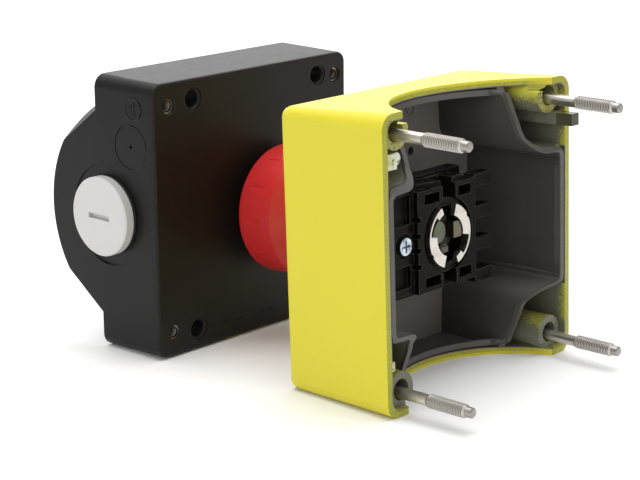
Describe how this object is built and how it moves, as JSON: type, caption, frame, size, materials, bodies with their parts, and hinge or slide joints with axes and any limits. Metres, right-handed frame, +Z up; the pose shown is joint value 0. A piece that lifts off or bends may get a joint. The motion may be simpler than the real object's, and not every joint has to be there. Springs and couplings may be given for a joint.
{
  "type": "emergency stop control station",
  "caption": "Emergency stop station opened into its square base with contact blocks and its cover with a twist-release mushroom actuator, captive screws and seals.",
  "frame": {"origin": "on the table, at the middle of the ground box round both standing halves and the screws", "axes": "+Z up, +Y the way both halves face (from the mounting face to the front), +X across the base towards its open cable entry"},
  "size_m": [0.0958, 0.1551, 0.085],
  "materials": {
    "base_paint": "satin",
    "cover_paint": "satin",
    "insert_steel": "machined",
    "screw_steel": "machined",
    "zinc": "bright",
    "lock_steel": "stamped",
    "spring_steel": "bright",
    "contact_brass": "satin",
    "black_plastic": "matt",
    "collar_plastic": "satin",
    "plug_plastic": "matt",
    "stem_plastic": "matt",
    "pusher_plastic": "translucent",
    "plunger_plastic": "gloss",
    "clear_plastic": "clear",
    "seal_rubber": "matt",
    "black_rubber": "matt",
    "red_plastic": "satin"
  },
  "bodies": {
    "base": {"base_housing": "base_paint", "screw_inserts": "insert_steel", "module_carrier": "black_plastic", "carrier_screws": "zinc", "contact_block_left": "black_plastic", "contact_block_right": "black_plastic", "bridge_spring_left": "spring_steel", "bridge_spring_right": "spring_steel", "fixed_contacts": "contact_brass", "terminal_screws": "zinc", "earth_plate": "contact_brass", "earth_screw": "zinc"},
    "plug": {"cable_plug": "plug_plastic", "plug_gasket": "black_rubber"},
    "plunger_left": {"block_plunger_left": "plunger_plastic", "bridge_left": "contact_brass"},
    "plunger_right": {"block_plunger_right": "plunger_plastic", "bridge_right": "contact_brass"},
    "cover": {"cover_shell": "cover_paint", "cover_seal": "seal_rubber", "clear_inserts": "clear_plastic", "screw_seals": "black_rubber", "actuator_collar": "collar_plastic", "collar_seal": "black_rubber", "actuator_barrel": "black_plastic", "lock_ring": "lock_steel", "module_holder": "black_plastic", "holder_screw": "zinc", "return_spring": "spring_steel"},
    "stem": {"actuator_stem": "stem_plastic", "stem_pusher": "pusher_plastic"},
    "mushroom": {"mushroom_cap": "red_plastic", "mushroom_disc": "red_plastic"},
    "cover_screw_top_left": {"screw_top_left": "screw_steel"},
    "cover_screw_top_right": {"screw_top_right": "screw_steel"},
    "cover_screw_bottom_left": {"screw_bottom_left": "screw_steel"},
    "cover_screw_bottom_right": {"screw_bottom_right": "screw_steel"}
  },
  "joints": [
    {"name": "cover_draw_off", "type": "slide", "parent": "base", "child": "cover", "axis": [0, -0.9995, 0.0314], "range_m": [0, 0.08]},
    {"name": "plug_draw_out", "type": "slide", "parent": "base", "child": "plug", "axis": [-1, 0, 0], "range_m": [0, 0.02]},
    {"name": "left_plunger_press", "type": "slide", "parent": "base", "child": "plunger_left", "axis": [0, -1, 0], "range_m": [0, 0.004], "stiffness_N_per_m": 600, "springref_m": -0.002, "deforming": ["bridge_spring_left"]},
    {"name": "right_plunger_press", "type": "slide", "parent": "base", "child": "plunger_right", "axis": [0, -1, 0], "range_m": [0, 0.004], "stiffness_N_per_m": 600, "springref_m": -0.002, "deforming": ["bridge_spring_right"]},
    {"name": "mushroom_push", "type": "slide", "parent": "cover", "child": "stem", "axis": [0, -0.9995, 0.0314], "range_m": [0, 0.004], "stiffness_N_per_m": 2000, "springref_m": -0.003, "deforming": ["return_spring"]},
    {"name": "mushroom_twist", "type": "hinge", "parent": "stem", "child": "mushroom", "pos_m": [0.00535, -0.00282, 0.04091], "axis": [0, -0.9995, 0.0314], "range_deg": [0, 45], "stiffness_Nm_per_rad": 0.15},
    {"name": "top_left_screw_out", "type": "slide", "parent": "cover", "child": "cover_screw_top_left", "axis": [0, 1, -0.0017], "range_m": [0, 0.009]},
    {"name": "top_right_screw_out", "type": "slide", "parent": "cover", "child": "cover_screw_top_right", "axis": [0, 1, -0.0017], "range_m": [0, 0.009]},
    {"name": "bottom_left_screw_out", "type": "slide", "parent": "cover", "child": "cover_screw_bottom_left", "axis": [0, 1, -0.0017], "range_m": [0, 0.009]},
    {"name": "bottom_right_screw_out", "type": "slide", "parent": "cover", "child": "cover_screw_bottom_right", "axis": [0, 1, -0.0017], "range_m": [0, 0.009]}
  ]
}
